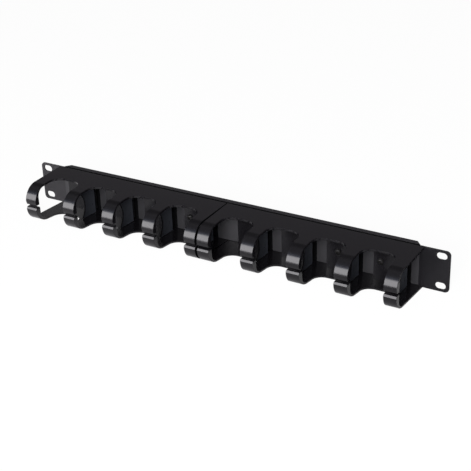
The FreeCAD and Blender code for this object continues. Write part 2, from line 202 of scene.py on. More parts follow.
def finish_shape(piece, sharp_angle):
    """Close the mesh, turn millimetres into metres, and shade curves smooth and flat faces flat."""
    mesh = bmesh.new()
    mesh.from_mesh(piece.data)
    bmesh.ops.remove_doubles(mesh, verts=mesh.verts, dist=SAME_POINT)
    open_edges = [edge for edge in mesh.edges if edge.is_boundary]
    bmesh.ops.holes_fill(mesh, edges=open_edges, sides=LARGEST_GAP)
    bmesh.ops.recalc_face_normals(mesh, faces=mesh.faces)
    mesh.to_mesh(piece.data)
    mesh.free()
    piece.data.transform(Matrix.Scale(MM, 4))
    piece.data.shade_smooth()
    piece.data.set_sharp_from_angle(angle=math.radians(sharp_angle))
    step = piece.modifiers.new("even_normals", "WEIGHTED_NORMAL")
    step.keep_sharp = True
    step.weight = 60
    settle(piece)


print("edges are sharp above", round(math.degrees(SHARP_ANGLE)), "degrees")

# %% [markdown]
# ## The finger module
#
# The module is an injection moulding. Its side view is the same all along the bar: a cover on
# top, a floor that rises a little forwards, and two bends that meet at a narrow slot. The notches
# between the fingers are cut straight down through the cover and straight up through the floor.
# So the mesh is made the same way: the side view is pulled along the bar, and the notches are cut
# out of it.

# %% Sizes of the finger module
SHEET = 1.5
HALF_HEIGHT = 22.0
FINGERS = 5
FINGER_PITCH = 50.2
FINGER_WIDTH = 14.0
MODULE_LENGTH = 214.8
SEAM = 0.4
FRONT_REACH = 63.3
FINGER_DEPTH = 6.3
COVER = 2.4
UPPER_BEND = 17.5
INNER_BEND = 9.0
LOWER_BEND_HEIGHT = -2.1
UPPER_CREASE_OFFSET = 5.6
LOWER_CREASE_OFFSET = 3.55
TIP_TUCK = 0.9
UPPER_TIP_RADIUS = 1.6
LOWER_TIP_RADIUS = 0.8
UPPER_TIP_STEP = 10
LOWER_TIP_STEP = 15
SLOT_WIDTH = 2.4
SLOT_HEIGHT = 0.9
FLOOR = 2.0
SLOPE = math.radians(3.9)
WALL_FRONT = 9.0
WALL_REAR = 7.4
CORE_STEP = 0.5
UNDER_COVER = HALF_HEIGHT - COVER
INNER_CENTRE = FRONT_REACH - FINGER_DEPTH - INNER_BEND
MODULE_STARTS = {"left": -SEAM / 2 - MODULE_LENGTH, "right": SEAM / 2}


def ahead(depth):
    """Y of a point that lies a depth in front of the steel, in millimetres."""
    return -SHEET - depth


def floor_bottom(depth):
    """Height of the sloping floor's underside at a depth."""
    return depth * math.tan(SLOPE) - HALF_HEIGHT


def floor_top(depth):
    """Height of the sloping floor's upper side at a depth."""
    return floor_bottom(depth) + FLOOR / math.cos(SLOPE)


def in_front(points):
    """Points given as (depth, height), with the depth turned into Y."""
    return [(ahead(depth), height) for depth, height in points]


print("one module:", MODULE_LENGTH, "mm long,", FINGERS, "fingers")


# %% Side view of the moulding at a finger
def finger_section():
    """Side view with both bends, the cable slot between them and the wall, as (Y, height)."""
    slope = math.degrees(SLOPE)
    slot_top = SLOT_HEIGHT + SLOT_WIDTH / 2
    slot_bottom = SLOT_HEIGHT - SLOT_WIDTH / 2
    inside = FRONT_REACH - FINGER_DEPTH
    tip = FRONT_REACH - TIP_TUCK
    upper_centre = (FRONT_REACH - UPPER_BEND, HALF_HEIGHT - UPPER_BEND)
    upper_crease = math.degrees(math.asin(
        (SLOT_HEIGHT + UPPER_CREASE_OFFSET - upper_centre[1]) / UPPER_BEND
    ))
    room = LOWER_BEND_HEIGHT - floor_bottom(FRONT_REACH)
    lower_bend = room / (1 / math.cos(SLOPE) - math.tan(SLOPE))
    lower_centre = (FRONT_REACH - lower_bend, LOWER_BEND_HEIGHT)
    lower_crease = math.degrees(math.asin(
        (SLOT_HEIGHT - LOWER_CREASE_OFFSET - LOWER_BEND_HEIGHT) / lower_bend
    ))
    inner_low = floor_top(INNER_CENTRE) + INNER_BEND / math.cos(SLOPE)
    points = [(0.0, HALF_HEIGHT)]
    points += arc(*upper_centre, UPPER_BEND, 90, upper_crease)
    upper_tip = (tip - UPPER_TIP_RADIUS, slot_top + UPPER_TIP_RADIUS)
    points += arc(*upper_tip, UPPER_TIP_RADIUS, 0, -90, UPPER_TIP_STEP)
    points += [(inside, slot_top)]
    points += arc(INNER_CENTRE, UNDER_COVER - INNER_BEND, INNER_BEND, 0, 90)
    points += [(WALL_FRONT, UNDER_COVER), (WALL_FRONT, floor_top(WALL_FRONT))]
    points += arc(INNER_CENTRE, inner_low, INNER_BEND, slope - 90, 0)
    points += [(inside, slot_bottom)]
    lower_tip = (tip - LOWER_TIP_RADIUS, slot_bottom - LOWER_TIP_RADIUS)
    points += arc(*lower_tip, LOWER_TIP_RADIUS, 90, 0, LOWER_TIP_STEP)
    points += arc(*lower_centre, lower_bend, lower_crease, slope - 90)
    points += [(0.0, floor_bottom(0)), (0.0, floor_top(0))]
    points += [(WALL_REAR, floor_top(WALL_REAR)), (WALL_REAR, UNDER_COVER), (0.0, UNDER_COVER)]
    return in_front(points)


print("points in the side view:", len(finger_section()))


# %% Notches between the fingers and round corners of the tips
COVER_NOTCH = {"depth": 25.5, "radius": 12.5, "flare": 0.0}
FLOOR_NOTCH = {"depth": 27.8, "radius": 11.4, "flare": 1.9}
COVER_CUT = (1.0, BEYOND)
FLOOR_CUT = (-BEYOND, 0.8)
END_DRAFT = 0.8
TIP_CORNER = 0.9
TIP_CORNER_STEP = 15
TIP_ROOM = 0.5


def notch(start, depth, radius, flare):
    """Outline of a notch, seen from above, that starts at one finger's right side."""
    end = start + FINGER_PITCH - FINGER_WIDTH
    rear = ahead(depth + radius)
    front = ahead(FRONT_REACH + CLEAR)
    points = [(start, front)]
    points += arc(start + flare + radius, rear, radius, 180, 90)
    points += arc(end - flare - radius, rear, radius, 90, 0)
    points += [(end, front)]
    return points


def end_wedge(end, side):
    """Draft of the left end (side -1) or the right end (side 1) of a module, seen from above."""
    front = ahead(FRONT_REACH + CLEAR)
    return [
        (end, ahead(0)), (end + side * CLEAR, ahead(0)),
        (end + side * CLEAR, front), (end - side * END_DRAFT, front),
    ]


def tip_corner(edge, side):
    """Room of the cable slot at one side of a finger, seen from the front, with round corners."""
    top = SLOT_HEIGHT + SLOT_WIDTH / 2
    bottom = SLOT_HEIGHT - SLOT_WIDTH / 2
    inner = edge - side * TIP_CORNER
    beyond = edge + side * 2 * CLEAR
    first = 0 if side > 0 else 180
    points = [(beyond, top + TIP_CORNER)]
    points += arc(inner, top + TIP_CORNER, TIP_CORNER, first, first - side * 90, TIP_CORNER_STEP)
    points += arc(inner, bottom - TIP_CORNER, TIP_CORNER, first + side * 90, first, TIP_CORNER_STEP)
    points += [(beyond, bottom - TIP_CORNER)]
    return points


print("points in a notch:", len(notch(0.0, **COVER_NOTCH)))


# %% Webs, windows, posts and mould marks
WEB = 1.5
WEB_HORN = (36.0, UNDER_COVER - 5.9)
WEB_FOOT_DEPTH = 33.0
WEB_SCOOP = 0.443 * 2 * HALF_HEIGHT
WINDOW_WIDTH = FINGER_WIDTH + 3.0
SCREW_PITCH = 0.8964 * FINGER_PITCH
FIRST_SCREW = (MODULE_LENGTH - 3 * SCREW_PITCH) / 2
SCREW_HEIGHT = 1.0
SCREWS = 4
POST = 8.0
SCREW_HOLE = 2.0
MARK_RADIUS = 2.8
MARK_DEPTH = 0.2
WALL_MARK = (22.0, -11.5)
WEB_MARK = (17.0, -7.5)


def arc_through(start, end, radius):
    """The short arc from one point to another that bulges towards smaller depths."""
    start, end = Vector(start), Vector(end)
    chord = end - start
    rise = math.sqrt(radius ** 2 - (chord.length / 2) ** 2)
    side = Vector((-chord.y, chord.x)).normalized()
    centre = (start + end) / 2 + side * rise
    if centre.x < start.x:
        centre = (start + end) / 2 - side * rise
    first = math.degrees(math.atan2(start.y - centre.y, start.x - centre.x)) % 360
    last = math.degrees(math.atan2(end.y - centre.y, end.x - centre.x)) % 360
    return arc(centre.x, centre.y, radius, first, last)


def web_section():
    """Web with its horn under the cover and its scooped front edge, as (Y, height)."""
    in_cover = UNDER_COVER + COVER / 2
    foot = (WEB_FOOT_DEPTH, floor_top(WEB_FOOT_DEPTH))
    points = [(WALL_REAR, in_cover), (WEB_HORN[0], in_cover)]
    points += arc_through(WEB_HORN, foot, WEB_SCOOP)
    points += [(WEB_FOOT_DEPTH, foot[1] - FLOOR / 2)]
    points += [(WALL_REAR, floor_top(WALL_REAR) - FLOOR / 2)]
    return in_front(points)


def window_section():
    """Room behind and inside a finger that is cut through the wall, as (Y, height)."""
    return in_front([
        (-CLEAR, UNDER_COVER),
        (INNER_CENTRE, UNDER_COVER),
        (INNER_CENTRE, floor_top(INNER_CENTRE)),
        (-CLEAR, floor_top(-CLEAR) - CORE_STEP),
    ])


def circle(across, up, radius):
    """Outline of a circle."""
    return arc(across, up, radius, 0, 360)[:-1]


def square(across, up, width):
    """Outline of a square with its middle at a place."""
    half = width / 2
    return [
        (across - half, up - half), (across + half, up - half),
        (across + half, up + half), (across - half, up + half),
    ]


print("points in a web:", len(web_section()))

# %% [markdown]
# The order of the steps matters. Edges are rounded while the body has only its large forms,
# because a rounding and a small form in its way would run through each other. The webs are
# rounded on their own and then joined. The tip corners, windows, posts, screw holes and the round
# marks of the ejector pins come after that, and stay crisp as they are on a moulding.

# %% Building both finger modules
EDGE_ROUND = 0.35
WEB_ROUND = 0.2
MOULDED_SHARP = 28


def notched_body(name, start, fingers):
    """The side view pulled along the bar, with the notches and the tip corners cut out."""
    bays = range(FINGERS - 1)
    body = prisms(name, "X", [(finger_section(), start, start + MODULE_LENGTH)])
    notches = [notch(fingers[bay] + FINGER_WIDTH, **COVER_NOTCH) for bay in bays]
    combine(body, prisms("cut", "Z", [(outline, *COVER_CUT) for outline in notches]), "DIFFERENCE")
    notches = [notch(fingers[bay] + FINGER_WIDTH, **FLOOR_NOTCH) for bay in bays]
    combine(body, prisms("cut", "Z", [(outline, *FLOOR_CUT) for outline in notches]), "DIFFERENCE")
    wedges = [end_wedge(start, -1), end_wedge(start + MODULE_LENGTH, 1)]
    combine(body, prisms("cut", "Z", [(wedge, -BEYOND, BEYOND) for wedge in wedges]), "DIFFERENCE")
    soften_edges(body, EDGE_ROUND, 3)
    corners = [tip_corner(finger, -1) for finger in fingers]
    corners += [tip_corner(finger + FINGER_WIDTH, 1) for finger in fingers]
    front = ahead(FRONT_REACH + CLEAR)
    back = ahead(FRONT_REACH - FINGER_DEPTH - TIP_ROOM)
    combine(body, prisms("cut", "Y", [(corner, front, back) for corner in corners]), "DIFFERENCE")
    return body


def finger_module(name, start):
    """A whole module that starts at an X, with one step for each of its forms."""
    fingers = [start + index * FINGER_PITCH for index in range(FINGERS)]
    screws = [start + FIRST_SCREW + index * SCREW_PITCH for index in range(SCREWS)]
    body = notched_body(name, start, fingers)
    windows = [(window_section(), finger, finger + WINDOW_WIDTH) for finger in fingers]
    combine(body, prisms("cut", "X", windows), "DIFFERENCE")
    webs = prisms("join", "X", [(web_section(), finger, finger + WEB) for finger in fingers[1:]])
    soften_edges(webs, WEB_ROUND, 2)
    combine(body, webs, "UNION")
    posts = [(square(screw, SCREW_HEIGHT, POST), ahead(WALL_REAR), ahead(0)) for screw in screws]
    combine(body, prisms("join", "Y", posts), "UNION")
    holes = [circle(screw, SCREW_HEIGHT, SCREW_HOLE) for screw in screws]
    through = (ahead(WALL_FRONT + CLEAR), ahead(-CLEAR))
    combine(body, prisms("cut", "Y", [(hole, *through) for hole in holes]), "DIFFERENCE")
    wall_marks = []
    web_marks = []
    for finger in fingers[:-1]:
        mark = circle(finger + WALL_MARK[0], WALL_MARK[1], MARK_RADIUS)
        wall_marks.append((mark, ahead(WALL_FRONT + CLEAR), ahead(WALL_FRONT - MARK_DEPTH)))
    for finger in fingers[1:]:
        mark = circle(ahead(WEB_MARK[0]), WEB_MARK[1], MARK_RADIUS)
        web_marks.append((mark, finger + WEB - MARK_DEPTH, finger + WEB + CLEAR))
    combine(body, prisms("cut", "Y", wall_marks), "DIFFERENCE")
    combine(body, prisms("cut", "X", web_marks), "DIFFERENCE")
    finish_shape(body, MOULDED_SHARP)
    return body


mouldings = []
for side, start in MODULE_STARTS.items():
    moulding = finger_module(side + "_moulding", start)
    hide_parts(side + "_finger_module")
    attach(moulding, "root")
    mouldings.append(moulding)
    print(moulding.name, "faces:", len(moulding.data.polygons))

# %% [markdown]
# ## The steel panel
#
# The panel is one sheet of steel, folded back at its top and bottom edges. The folds end before
# the ears, which lie flat on the rack rails. The edges of cut sheet get a thick skin of powder
# coating, so they look rounder than bare steel does, and each edge here is rounded by a quarter
# of a millimetre.

# %% Folded sheet, ears and rack slots
PANEL_WIDTH = 482.6
EAR_WIDTH = 30.8
EAR_CORNER = 4.5
FLANGE_DEPTH = 8.0
FLANGE_SLANT = 5.5
BEND = 1.0
SLOT_PLACE = (232.55, 15.875)
SLOT_SIZE = (10.5, 7.0)
SCREW_RADIUS = 1.75
THREAD_CLEARANCE = 0.05
COATED_EDGE = 0.25
COATED_SHARP = 35
EAR_OVERLAP = 0.5
THROUGH_SHEET = (-3.0, 1.0)
BEND_STEP = 6
INNER_BEND_STEP = 9


def channel_section():
    """Front sheet with both flanges, as (Y, height)."""
    outer = BEND + SHEET
    middle = BEND
    level = HALF_HEIGHT - outer
    edge = FLANGE_DEPTH - SHEET
    points = [(edge, HALF_HEIGHT)]
    points += arc(middle, level, outer, 90, 180, BEND_STEP)
    points += arc(middle, -level, outer, 180, 270, BEND_STEP)
    points += [(edge, -HALF_HEIGHT), (edge, SHEET - HALF_HEIGHT)]
    points += arc(middle, -level, BEND, 270, 180, INNER_BEND_STEP)
    points += arc(middle, level, BEND, 180, 90, INNER_BEND_STEP)
    points += [(edge, HALF_HEIGHT - SHEET)]
    return points


def ear(side):
    """Ear at the left end (side -1) or the right end (side 1), seen from the front."""
    root = side * (PANEL_WIDTH / 2 - EAR_WIDTH - EAR_OVERLAP)
    centre = side * (PANEL_WIDTH / 2 - EAR_CORNER)
    level = HALF_HEIGHT - EAR_CORNER
    first = -90 if side > 0 else 270
    points = [(root, -HALF_HEIGHT)]
    points += arc(centre, -level, EAR_CORNER, first, first + side * 90, BEND_STEP)
    points += arc(centre, level, EAR_CORNER, first + side * 90, first + side * 180, BEND_STEP)
    points += [(root, HALF_HEIGHT)]
    return points


def rack_slot(across, up):
    """Slot with round ends, with its middle at a place."""
    run = (SLOT_SIZE[0] - SLOT_SIZE[1]) / 2
    points = arc(across + run, up, SLOT_SIZE[1] / 2, -90, 90, BEND_STEP)
    return points + arc(across - run, up, SLOT_SIZE[1] / 2, 90, 270, BEND_STEP)


def flange_end(side):
    """Corner that is cut off a flange, seen from above."""
    root = side * (PANEL_WIDTH / 2 - EAR_WIDTH)
    edge = FLANGE_DEPTH - SHEET
    inner = root - side * FLANGE_SLANT
    rear = edge + CLEAR
    return [(root, 0.0), (root + side * CLEAR, rear), (inner, rear), (inner, edge)]


print("points in the folded section:", len(channel_section()))

# %% [markdown]
# The flat ears are joined to the folded part, and then all the holes are cut. The edges near the
# slanted flange ends stay crisp: they meet at such flat angles that rounding would throw spikes.


# %% Building the panel
def steel_sheet():
    """The folded part, joined to both ears, with its holes and its rounded edges."""
    root = PANEL_WIDTH / 2 - EAR_WIDTH
    panel = prisms("folded_panel", "X", [(channel_section(), -root, root)])
    cuts = [(flange_end(side), -BEYOND, BEYOND) for side in (1, -1)]
    combine(panel, prisms("cut", "Z", cuts), "DIFFERENCE")
    ears = [(ear(side), -SHEET, 0.0) for side in (1, -1)]
    combine(panel, prisms("join", "Y", ears), "UNION")
    holes = [rack_slot(x * SLOT_PLACE[0], z * SLOT_PLACE[1]) for x in (1, -1) for z in (1, -1)]
    for start in MODULE_STARTS.values():
        for index in range(SCREWS):
            across = start + FIRST_SCREW + index * SCREW_PITCH
            holes.append(circle(across, SCREW_HEIGHT, SCREW_RADIUS + THREAD_CLEARANCE))
    combine(panel, prisms("cut", "Y", [(hole, *THROUGH_SHEET) for hole in holes]), "DIFFERENCE")
    soften_edges(panel, COATED_EDGE, 2, (root - FLANGE_SLANT - CLEAR, root + CLEAR))
    finish_shape(panel, COATED_SHARP)
    return panel


panel = steel_sheet()
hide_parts("steel_panel")
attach(panel, "root")
print("panel faces:", len(panel.data.polygons))

# %% [markdown]
# ## The screws
#
# Eight pan-head screws with a cross recess hold the mouldings. The head is a turned profile. The
# thread is a grid of points round the shank, whose radius rises and falls with the angle and the
# place along the shank, which is just what a thread is. The threads show behind the steel.

# %% Turned heads and threads
SCREW_LENGTH = 14.0
HEAD_RADIUS = 3.2
HEAD_HEIGHT = 2.4
RIM_HEIGHT = 0.75
RIM_EASE = 0.1
DOME_FLAT = 0.9
DOME_STEP = 11.0
THREAD_PITCH = 1.3
THREAD_DEPTH = 0.42
THREAD_STEEPNESS = 3.2
RINGS_PER_TURN = 12
POINT_LENGTH = 2.2
POINT_BLUNTNESS = 0.2
SUNK = 0.05
AROUND = 48
RECESS_SIZE = (1.8, 0.45)
RECESS_DEPTH = 1.5
DRIVER_ROOM = 5


def ring_mesh(name, rings, place):
    """A closed turned solid at a place. Each ring is (Y, a radius for each step round)."""
    mesh = bmesh.new()
    rows = []
    for along, radii in rings:
        row = []
        for step, radius in enumerate(radii):
            angle = 2 * math.pi * step / AROUND
            across, up = radius * math.cos(angle), radius * math.sin(angle)
            point = (place[0] + across, along + place[1], place[2] + up)
            row.append(mesh.verts.new(Vector(point)))
        rows.append(row)
    for first, second in zip(rows, rows[1:]):
        for step in range(AROUND):
            mesh.faces.new((first[step - 1], first[step], second[step], second[step - 1]))
    mesh.faces.new(rows[0])
    mesh.faces.new(list(reversed(rows[-1])))
    bmesh.ops.recalc_face_normals(mesh, faces=mesh.faces)
    data = bpy.data.meshes.new(name)
    mesh.to_mesh(data)
    mesh.free()
    piece = bpy.data.objects.new(name, data)
    bpy.context.scene.collection.objects.link(piece)
    return piece


def head_rings():
    """Rings of the pan head, from its seat to the top of its dome."""
    rings = [(0.0, HEAD_RADIUS - RIM_EASE), (-RIM_EASE, HEAD_RADIUS), (-RIM_HEIGHT, HEAD_RADIUS)]
    for step in range(1, 9):
        angle = math.radians(step * DOME_STEP)
        along = -RIM_HEIGHT - (HEAD_HEIGHT - RIM_HEIGHT) * math.sin(angle)
        rings.append((along, DOME_FLAT + (HEAD_RADIUS - DOME_FLAT) * math.cos(angle)))
    return [(along, [radius] * AROUND) for along, radius in rings]


def thread_rings():
    """Rings of the shank. On each ring the ridge of the thread lies at one angle."""
    rings = []
    steps = RINGS_PER_TURN * round(SCREW_LENGTH / THREAD_PITCH)
    for step in range(steps + 1):
        along = SCREW_LENGTH * step / steps
        to_point = (SCREW_LENGTH - along) / POINT_LENGTH
        taper = min(1.0, to_point * (1.0 - POINT_BLUNTNESS) + POINT_BLUNTNESS)
        radii = []
        for turn in range(AROUND):
            phase = (along / THREAD_PITCH - turn / AROUND) % 1.0
            ridge = max(0.0, 1.0 - abs(phase - 0.5) * THREAD_STEEPNESS)
            radii.append((SCREW_RADIUS - THREAD_DEPTH * (1.0 - ridge)) * taper)
        rings.append((along - SUNK, radii))
    return rings


def cross(turn):
    """Cross recess, turned about the screw's axis by some degrees."""
    tip, arm = RECESS_SIZE
    points = []
    for quarter in range(4):
        base = math.radians(turn + 90 * quarter)
        for across, up in ((tip, -arm), (tip, arm), (arm, arm)):
            x = across * math.cos(base) - up * math.sin(base)
            z = across * math.sin(base) + up * math.cos(base)
            points.append((x, z))
    return points


print("rings in a thread:", len(thread_rings()))

# %% Building the screws
RECESS_TURNS = (12, 48, 75, 31, 62, 20, 84, 40)
SCREW_SHARP = 30
screw_places = [
    start + FIRST_SCREW + index * SCREW_PITCH
    for start in MODULE_STARTS.values() for index in range(SCREWS)
]
screw_set = None
for across, turn in zip(screw_places, RECESS_TURNS):
    place = (across, ahead(WALL_FRONT), SCREW_HEIGHT)
    head = ring_mesh("screws", head_rings(), place)
    outline = [(x + across, z + SCREW_HEIGHT) for x, z in cross(turn)]
    recess = (outline, place[1] - DRIVER_ROOM, place[1] - HEAD_HEIGHT + RECESS_DEPTH)
    combine(head, prisms("cut", "Y", [recess]), "DIFFERENCE")
    combine(head, ring_mesh("shank", thread_rings(), place), "UNION")
    if screw_set is None:
        screw_set = head
    else:
        pair = [screw_set, head]
        with bpy.context.temp_override(active_object=screw_set, selected_editable_objects=pair):
            bpy.ops.object.join()
finish_shape(screw_set, SCREW_SHARP)
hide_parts("module_screws")
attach(screw_set, "root")
print("screw faces:", len(screw_set.data.polygons))

# %% [markdown]
# ## Writing shader maths
#
# A material is a graph of nodes. Its sums are easier to read as Python, so one small class wraps
# an output socket and turns each operator into a Math node. Every other kind of node comes from
# one method, which sets the node's own settings first and then its inputs.

# %% Sums of signals
class Signal:
    """An output socket. Python's operators on it add Math nodes."""

    def __init__(self, graph, socket):
        self.graph = graph
        self.socket = socket

    def __add__(self, other):
        return self.graph.maths("ADD", self, other)

    __radd__ = __add__

    def __mul__(self, other):
        return self.graph.maths("MULTIPLY", self, other)

    __rmul__ = __mul__

    def __sub__(self, other):
        return self.graph.maths("SUBTRACT", self, other)

    def __rsub__(self, other):
        return self.graph.maths("SUBTRACT", other, self)

    def __neg__(self):
        return self.graph.maths("MULTIPLY", self, -1.0)


print("a signal has operators:", sorted(name.strip("_") for name in vars(Signal) if "__r" in name))


# %% Graph of nodes
class Graph:
    """The nodes of one material or of the world."""

    def __init__(self, tree):
        self.tree = tree
        tree.nodes.clear()

    def make(self, kind, settings, inputs, output=0):
        """A node of a kind. Settings come first, then values or signals for its inputs."""
        node = self.tree.nodes.new(kind)
        for name, setting in settings.items():
            if name == "stops":
                self.set_stops(node.color_ramp.elements, setting)
            else:
                setattr(node, name, setting)
        for name, given in inputs.items():
            if isinstance(given, Signal):
                self.tree.links.new(given.socket, node.inputs[name])
            else:
                node.inputs[name].default_value = given
        return Signal(self, node.outputs[output]) if len(node.outputs) else node

    @staticmethod
    def set_stops(elements, stops):
        """Give a colour ramp its stops, each as (place, colour)."""
        while len(elements) < len(stops):
            elements.new(0.5)
        for element, (place, colour) in zip(elements, stops):
            element.position = place
            element.color = colour

    def maths(self, operation, first, second):
        """A Math node that works on two signals or numbers."""
        return self.make("ShaderNodeMath", {"operation": operation}, {0: first, 1: second})

    def noise(self, place, size, detail=3.0):
        """Noise with blotches of a size in millimetres."""
        inputs = {"Vector": place, "Scale": 1000.0 / size, "Detail": detail}
        return self.make("ShaderNodeTexNoise", {}, inputs)

    def blend(self, factor, first, second):
        """The first colour where the factor is 0, and the second where it is 1."""
        inputs = {"Factor": factor, "A": first, "B": second}
        return self.make("ShaderNodeMix", {"data_type": "RGBA"}, inputs, "Result")

    def parts(self, vector):
        """The X, the Y and the Z of a vector."""
        node = self.make("ShaderNodeSeparateXYZ", {}, {"Vector": vector}).socket.node
        return [Signal(self, node.outputs[name]) for name in "XYZ"]

    def rays(self, *names):
        """For each kind of ray that is named, a signal that is 1 for such a ray."""
        node = self.make("ShaderNodeLightPath", {}, {}).socket.node
        return [Signal(self, node.outputs[name]) for name in names]


print("a graph has helpers:", sorted(name for name in vars(Graph) if "__" not in name))


# %% Greys and finishes
def grey(level):
    """A grey of a level, as a colour."""
    return (level, level, level, 1.0)


def new_finish(name):
    """A new material and the graph of its nodes."""
    material = bpy.data.materials.new(name)
    material.use_nodes = True
    return material, Graph(material.node_tree)


def put_on(piece, material):
    """Give a piece one material all over."""
    piece.data.materials.clear()
    piece.data.materials.append(material)


print("a grey:", grey(0.5))

# %% [markdown]
# ## Glossy black plastic
#
# The mouldings are black right through, and smooth because their mould was polished. Nearly all
# the light that reaches the camera is a reflection, so the roughness decides the look. The
# surface still waves a little where the plastic shrank, and handling leaves faint patches that
# shine less.
#
# Inside the bays the webs and the wall get a rougher gloss, and a paler colour that grows towards
# the wall: that pale colour is painted light. Their thin front edges, the sides of the windows and
# the edges at the seam are painted shade: a matt near-black diffuse in place of the gloss. Both
# stay the same under other light. Masks pick these places out by where they are in the module, with
# limits in millimetres, and by the way they face, which is the normal's part along an axis.

# %% Plastic finish
INSIDE_FLOOR = -19.8
INSIDE_COVER = 19.3
INSIDE_WALL = -10.9
INSIDE_HORN = -38.0
SEAM_EDGE = 0.6
FACES_FRONT = -0.2
FACES_RIGHT = 0.5
PALER_PER_METRE = 28.0
PALEST = 1.25
PLASTIC = ((0.0066, 0.0060, 0.0076, 1.0), (0.0086, 0.0080, 0.0094, 1.0))
# Painted light: the paler colour of the webs and the wall inside the bays.
PAINTED_BAY_LIGHT = (0.043, 0.047, 0.058, 1.0)
# Painted shade: a matt near-black that stands in for shade on edges, in the groove and behind the
# webs.
PAINTED_SHADE_BLACK = (0.004, 0.004, 0.0045, 1.0)

plastic, graph = new_finish("glossy_black_plastic")
place = graph.make("ShaderNodeTexCoord", {}, {}, "Object")
patches = graph.noise(place, 30.0)
grain = graph.noise(place, 0.35, 2.0)
shrink = graph.noise(place, 9.0, 1.0)
across, forward, height = graph.parts(place)
off_middle = graph.maths("ABSOLUTE", across, 0.0)
over_floor = height + forward * math.tan(SLOPE)
above_floor = graph.maths("GREATER_THAN", over_floor, INSIDE_FLOOR * MM)
below_cover = graph.maths("LESS_THAN", height, INSIDE_COVER * MM)
past_wall = graph.maths("LESS_THAN", forward, INSIDE_WALL * MM)
before_horn = graph.maths("GREATER_THAN", forward, INSIDE_HORN * MM)
inside = above_floor * below_cover * past_wall * before_horn
normal = graph.make("ShaderNodeTexCoord", {}, {}, "Normal")
faces_across, faces_forward = graph.parts(normal)[:2]
front_edge = inside * graph.maths("LESS_THAN", faces_forward, FACES_FRONT)
from_seam = off_middle + forward * (END_DRAFT / FRONT_REACH)
seam = graph.maths("LESS_THAN", from_seam, SEAM_EDGE * MM)
faces_right = graph.maths("GREATER_THAN", faces_across, FACES_RIGHT)
window_side = faces_right * (1.0 - past_wall) * below_cover
print("nodes in the masks:", len(plastic.node_tree.nodes))

# %% Colour, gloss, painted light in the bays and painted shade on edges
outer_colour = graph.blend(patches, *PLASTIC)
# Painted light: inside the bays the colour turns paler towards the wall.
bay_light = inside * (forward * PALER_PER_METRE + PALEST)
colour = graph.blend(bay_light, outer_colour, PAINTED_BAY_LIGHT)
bump = graph.make("ShaderNodeBump", {}, {
    "Height": grain * 0.000004 + shrink * 0.00004, "Distance": 1.0, "Strength": 0.6,
})
gloss = graph.make("ShaderNodeBsdfPrincipled", {}, {
    "Base Color": colour,
    "Roughness": patches * 0.10 + inside * 0.27 + 0.13,
    "IOR": 1.5,
    "Normal": bump,
})
# Painted shade: matt near-black in place of the gloss on the web edges, the window sides and the
# seam.
painted_shade_edge = graph.make("ShaderNodeBsdfDiffuse", {}, {"Color": PAINTED_SHADE_BLACK, "Normal": bump})
painted_shade_places = front_edge + window_side * above_floor + seam
surface = graph.make("ShaderNodeMixShader", {}, {0: painted_shade_places, 1: gloss, 2: painted_shade_edge})
graph.make("ShaderNodeOutputMaterial", {}, {"Surface": surface})
for moulding in mouldings:
    put_on(moulding, plastic)
print("nodes in the plastic:", len(plastic.node_tree.nodes))

# %% [markdown]
# ## Black powder coating
#
# Powder coating melts into a skin with a soft, even orange peel about a millimetre across. It is
# less glossy than the mouldings.
#
# Four tones are painted on the steel: painted shade as a dark line in the groove along the bends,
# painted light on the steel in the windows, a painted shadow strip behind each web, and painted
# shade on the right ear. They belong to the material, so they stay the same under other light. The
# masks have limits in millimetres. The strips repeat with the fingers, so they are found from the
# place along each module.

# %% Powder-coated steel
SHEET_FRONT = -1.0
EAR_START = 210.3
BEND_START = 20.5
GROOVE_DEPTH = 0.6
STRIP_LEAD = 3.6
STRIP_WIDTH = 5.4
FIRST_STRIP = -200.0
SEAM_ROOM = 10.0
COAT = ((0.0175, 0.0164, 0.0192, 1.0), (0.0255, 0.0240, 0.0275, 1.0))
# Painted light: paler steel on the front between the ears, seen through the windows.
PAINTED_WINDOW_LIGHT = (0.042, 0.041, 0.045, 1.0)
# Painted shade: a darker right ear.
PAINTED_EAR_SHADE = (0.0085, 0.0080, 0.0098, 1.0)

coating, graph = new_finish("black_powder_coating")
place = graph.make("ShaderNodeTexCoord", {}, {}, "Object")
peel = graph.noise(place, 0.9, 1.0)
speck = graph.noise(place, 0.2, 1.0)
patches = graph.noise(place, 24.0)
sideways, forward, height = graph.parts(place)
on_front = graph.maths("LESS_THAN", forward, SHEET_FRONT * MM)
off_middle = graph.maths("ABSOLUTE", sideways, 0.0)
between_ears = graph.maths("LESS_THAN", off_middle, EAR_START * MM)
right_ear = graph.maths("GREATER_THAN", sideways, EAR_START * MM) * on_front
skin_colour = graph.blend(speck, *COAT)
# Painted light on the front sheet between the ears.
window_lit_colour = graph.blend(between_ears * on_front, skin_colour, PAINTED_WINDOW_LIGHT)
# Painted shade on the right ear.
colour = graph.blend(right_ear, window_lit_colour, PAINTED_EAR_SHADE)
bump = graph.make("ShaderNodeBump", {}, {
    "Height": peel * 0.00003 + speck * 0.000008, "Distance": 1.0, "Strength": 0.5,
})
skin = graph.make("ShaderNodeBsdfPrincipled", {}, {
    "Base Color": colour, "Roughness": patches * 0.08 + 0.30, "IOR": 1.5, "Normal": bump,
})
print("nodes in the skin:", len(coating.node_tree.nodes))

# %% Painted shade in the groove and painted shadow strips behind the webs
from_middle = graph.maths("ABSOLUTE", height, 0.0)
on_bend = graph.maths("GREATER_THAN", from_middle, BEND_START * MM)
groove = graph.maths("LESS_THAN", forward, GROOVE_DEPTH * MM) * between_ears * on_bend
